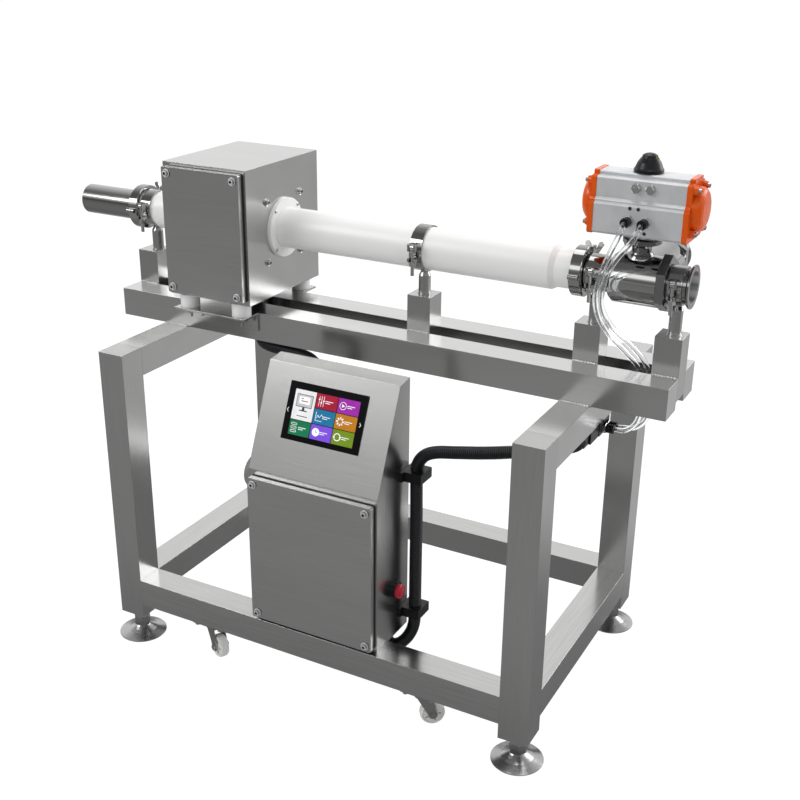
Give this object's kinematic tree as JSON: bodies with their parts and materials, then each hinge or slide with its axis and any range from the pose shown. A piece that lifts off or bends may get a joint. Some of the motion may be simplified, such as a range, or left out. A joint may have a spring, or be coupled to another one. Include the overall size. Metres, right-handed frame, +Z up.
{
  "type": "pipeline metal detector",
  "caption": "Pipeline metal detector on a stainless steel stand, with a search head round a plastic pipe and a three-way reject valve turned by an air actuator.",
  "frame": {"origin": "on the floor, under the middle of the machine's overall box", "axes": "+X along the product flow, from the inlet to the outlet; +Z up; the operator stands at -Y"},
  "size_m": [1.3784, 0.644, 1.117],
  "materials": {
    "brushed_stainless": "brushed",
    "polished_stainless": "polished",
    "dark_plated_steel": "satin",
    "zinc_plated_steel": "satin",
    "white_plastic": "satin",
    "black_plastic": "matte",
    "copper_wire": "satin",
    "seal_rubber": "matte",
    "anodised_aluminium": "satin",
    "orange_paint": "gloss",
    "clear_tube": "gloss",
    "screen_glass": "gloss",
    "red_plastic": "gloss",
    "grey_plastic": "matte",
    "green_board": "matte"
  },
  "bodies": {
    "machine": {"stand_legs": "brushed_stainless", "stand_rails": "brushed_stainless", "stand_beams": "brushed_stainless", "pipe_posts": "brushed_stainless", "holder_caps": "polished_stainless", "holder_bolts": "polished_stainless", "clamp_halves": "polished_stainless", "inlet_tube": "polished_stainless", "product_pipe": "white_plastic", "pipe_flanges": "white_plastic", "head_housing": "brushed_stainless", "head_cover": "brushed_stainless", "head_feet": "white_plastic", "head_brackets": "brushed_stainless", "coil_former": "white_plastic", "search_coils": "copper_wire", "cover_seals": "seal_rubber", "cover_screws": "polished_stainless", "valve_body": "polished_stainless", "valve_end": "polished_stainless", "actuator_bracket": "dark_plated_steel", "actuator_body": "anodised_aluminium", "actuator_caps": "orange_paint", "air_fittings": "black_plastic", "solenoid_valve": "black_plastic", "front_air_tube": "clear_tube", "rear_air_tube": "clear_tube", "cabinet_body": "brushed_stainless", "cabinet_door": "brushed_stainless", "touch_screen": "screen_glass", "button_housing": "black_plastic", "alarm_sounder": "grey_plastic", "power_supply": "zinc_plated_steel", "control_board": "green_board", "power_conduit": "black_plastic", "head_conduit": "black_plastic", "conduit_fittings": "black_plastic"},
    "front_left_levelling_foot": {"front_left_foot": "dark_plated_steel"},
    "front_left_caster": {"front_left_fork": "zinc_plated_steel"},
    "front_left_caster_wheel": {"front_left_wheel": "white_plastic"},
    "front_right_levelling_foot": {"front_right_foot": "dark_plated_steel"},
    "front_right_caster": {"front_right_fork": "zinc_plated_steel"},
    "front_right_caster_wheel": {"front_right_wheel": "white_plastic"},
    "rear_left_levelling_foot": {"rear_left_foot": "dark_plated_steel"},
    "rear_left_caster": {"rear_left_fork": "zinc_plated_steel"},
    "rear_left_caster_wheel": {"rear_left_wheel": "white_plastic"},
    "rear_right_levelling_foot": {"rear_right_foot": "dark_plated_steel"},
    "rear_right_caster": {"rear_right_fork": "zinc_plated_steel"},
    "rear_right_caster_wheel": {"rear_right_wheel": "white_plastic"},
    "inlet_swing_bolt": {"inlet_bolt": "polished_stainless"},
    "inlet_nut": {"inlet_wing_nut": "polished_stainless"},
    "outlet_swing_bolt": {"outlet_bolt": "polished_stainless"},
    "outlet_nut": {"outlet_wing_nut": "polished_stainless"},
    "valve_rotor": {"valve_ball": "polished_stainless", "valve_stem": "polished_stainless", "drive_pinion": "zinc_plated_steel", "position_indicator": "black_plastic"},
    "left_actuator_piston": {"left_piston": "anodised_aluminium"},
    "right_actuator_piston": {"right_piston": "anodised_aluminium"},
    "stop_button": {"stop_button": "red_plastic"}
  },
  "joints": [
    {"name": "front_left_foot_height", "type": "slide", "parent": "machine", "child": "front_left_levelling_foot", "axis": [0, 0, -1], "range_m": [0, 0.025]},
    {"name": "front_left_caster_swivel", "type": "hinge", "parent": "machine", "child": "front_left_caster", "pos_m": [-0.19775, -0.271, 0.09], "axis": [0, 0, 1], "continuous": true},
    {"name": "front_left_wheel_spin", "type": "hinge", "parent": "front_left_caster", "child": "front_left_caster_wheel", "pos_m": [-0.18144, -0.27861, 0.035], "axis": [0.4226, 0.9063, 0], "continuous": true},
    {"name": "front_right_foot_height", "type": "slide", "parent": "machine", "child": "front_right_levelling_foot", "axis": [0, 0, -1], "range_m": [0, 0.025]},
    {"name": "front_right_caster_swivel", "type": "hinge", "parent": "machine", "child": "front_right_caster", "pos_m": [0.30425, -0.271, 0.09], "axis": [0, 0, 1], "continuous": true},
    {"name": "front_right_wheel_spin", "type": "hinge", "parent": "front_right_caster", "child": "front_right_caster_wheel", "pos_m": [0.31899, -0.26068, 0.035], "axis": [-0.5736, 0.8192, 0], "continuous": true},
    {"name": "rear_left_foot_height", "type": "slide", "parent": "machine", "child": "rear_left_levelling_foot", "axis": [0, 0, -1], "range_m": [0, 0.025]},
    {"name": "rear_left_caster_swivel", "type": "hinge", "parent": "machine", "child": "rear_left_caster", "pos_m": [-0.19775, 0.271, 0.09], "axis": [0, 0, 1], "continuous": true},
    {"name": "rear_left_wheel_spin", "type": "hinge", "parent": "rear_left_caster", "child": "rear_left_caster_wheel", "pos_m": [-0.21466, 0.26484, 0.035], "axis": [0.342, -0.9397, 0], "continuous": true},
    {"name": "rear_right_foot_height", "type": "slide", "parent": "machine", "child": "rear_right_levelling_foot", "axis": [0, 0, -1], "range_m": [0, 0.025]},
    {"name": "rear_right_caster_swivel", "type": "hinge", "parent": "machine", "child": "rear_right_caster", "pos_m": [0.30425, 0.271, 0.09], "axis": [0, 0, 1], "continuous": true},
    {"name": "rear_right_wheel_spin", "type": "hinge", "parent": "rear_right_caster", "child": "rear_right_caster_wheel", "pos_m": [0.30738, 0.25327, 0.035], "axis": [0.9848, 0.1736, 0], "continuous": true},
    {"name": "inlet_bolt_swing", "type": "hinge", "parent": "machine", "child": "inlet_swing_bolt", "pos_m": [-0.53525, 0.0585, 0.881], "axis": [-1, 0, 0], "range_deg": [0, 100]},
    {"name": "inlet_nut_turn", "type": "hinge", "parent": "inlet_swing_bolt", "child": "inlet_nut", "pos_m": [-0.53525, 0.0585, 0.913], "axis": [0, 0, 1], "continuous": true},
    {"name": "outlet_bolt_swing", "type": "hinge", "parent": "machine", "child": "outlet_swing_bolt", "pos_m": [0.47475, 0.0585, 0.881], "axis": [-1, 0, 0], "range_deg": [0, 100]},
    {"name": "outlet_nut_turn", "type": "hinge", "parent": "outlet_swing_bolt", "child": "outlet_nut", "pos_m": [0.47475, 0.0585, 0.913], "axis": [0, 0, 1], "continuous": true},
    {"name": "valve_turn", "type": "hinge", "parent": "machine", "child": "valve_rotor", "pos_m": [0.58125, 0, 0.892], "axis": [0, 0, -1], "range_deg": [0, 90]},
    {"name": "left_piston_stroke", "type": "slide", "parent": "machine", "child": "left_actuator_piston", "axis": [-1, 0, 0], "range_m": [0, 0.02513]},
    {"name": "right_piston_stroke", "type": "slide", "parent": "machine", "child": "right_actuator_piston", "axis": [1, 0, 0], "range_m": [0, 0.02513]},
    {"name": "stop_button_press", "type": "slide", "parent": "machine", "child": "stop_button", "axis": [-1, 0, 0], "range_m": [0, 0.004], "stiffness_N_per_m": 500, "springref_m": -0.001}
  ],
  "couplings": [
    {"joint": "left_piston_stroke", "follows": "valve_turn", "m_per_rad": 0.016},
    {"joint": "right_piston_stroke", "follows": "valve_turn", "m_per_rad": 0.016}
  ]
}
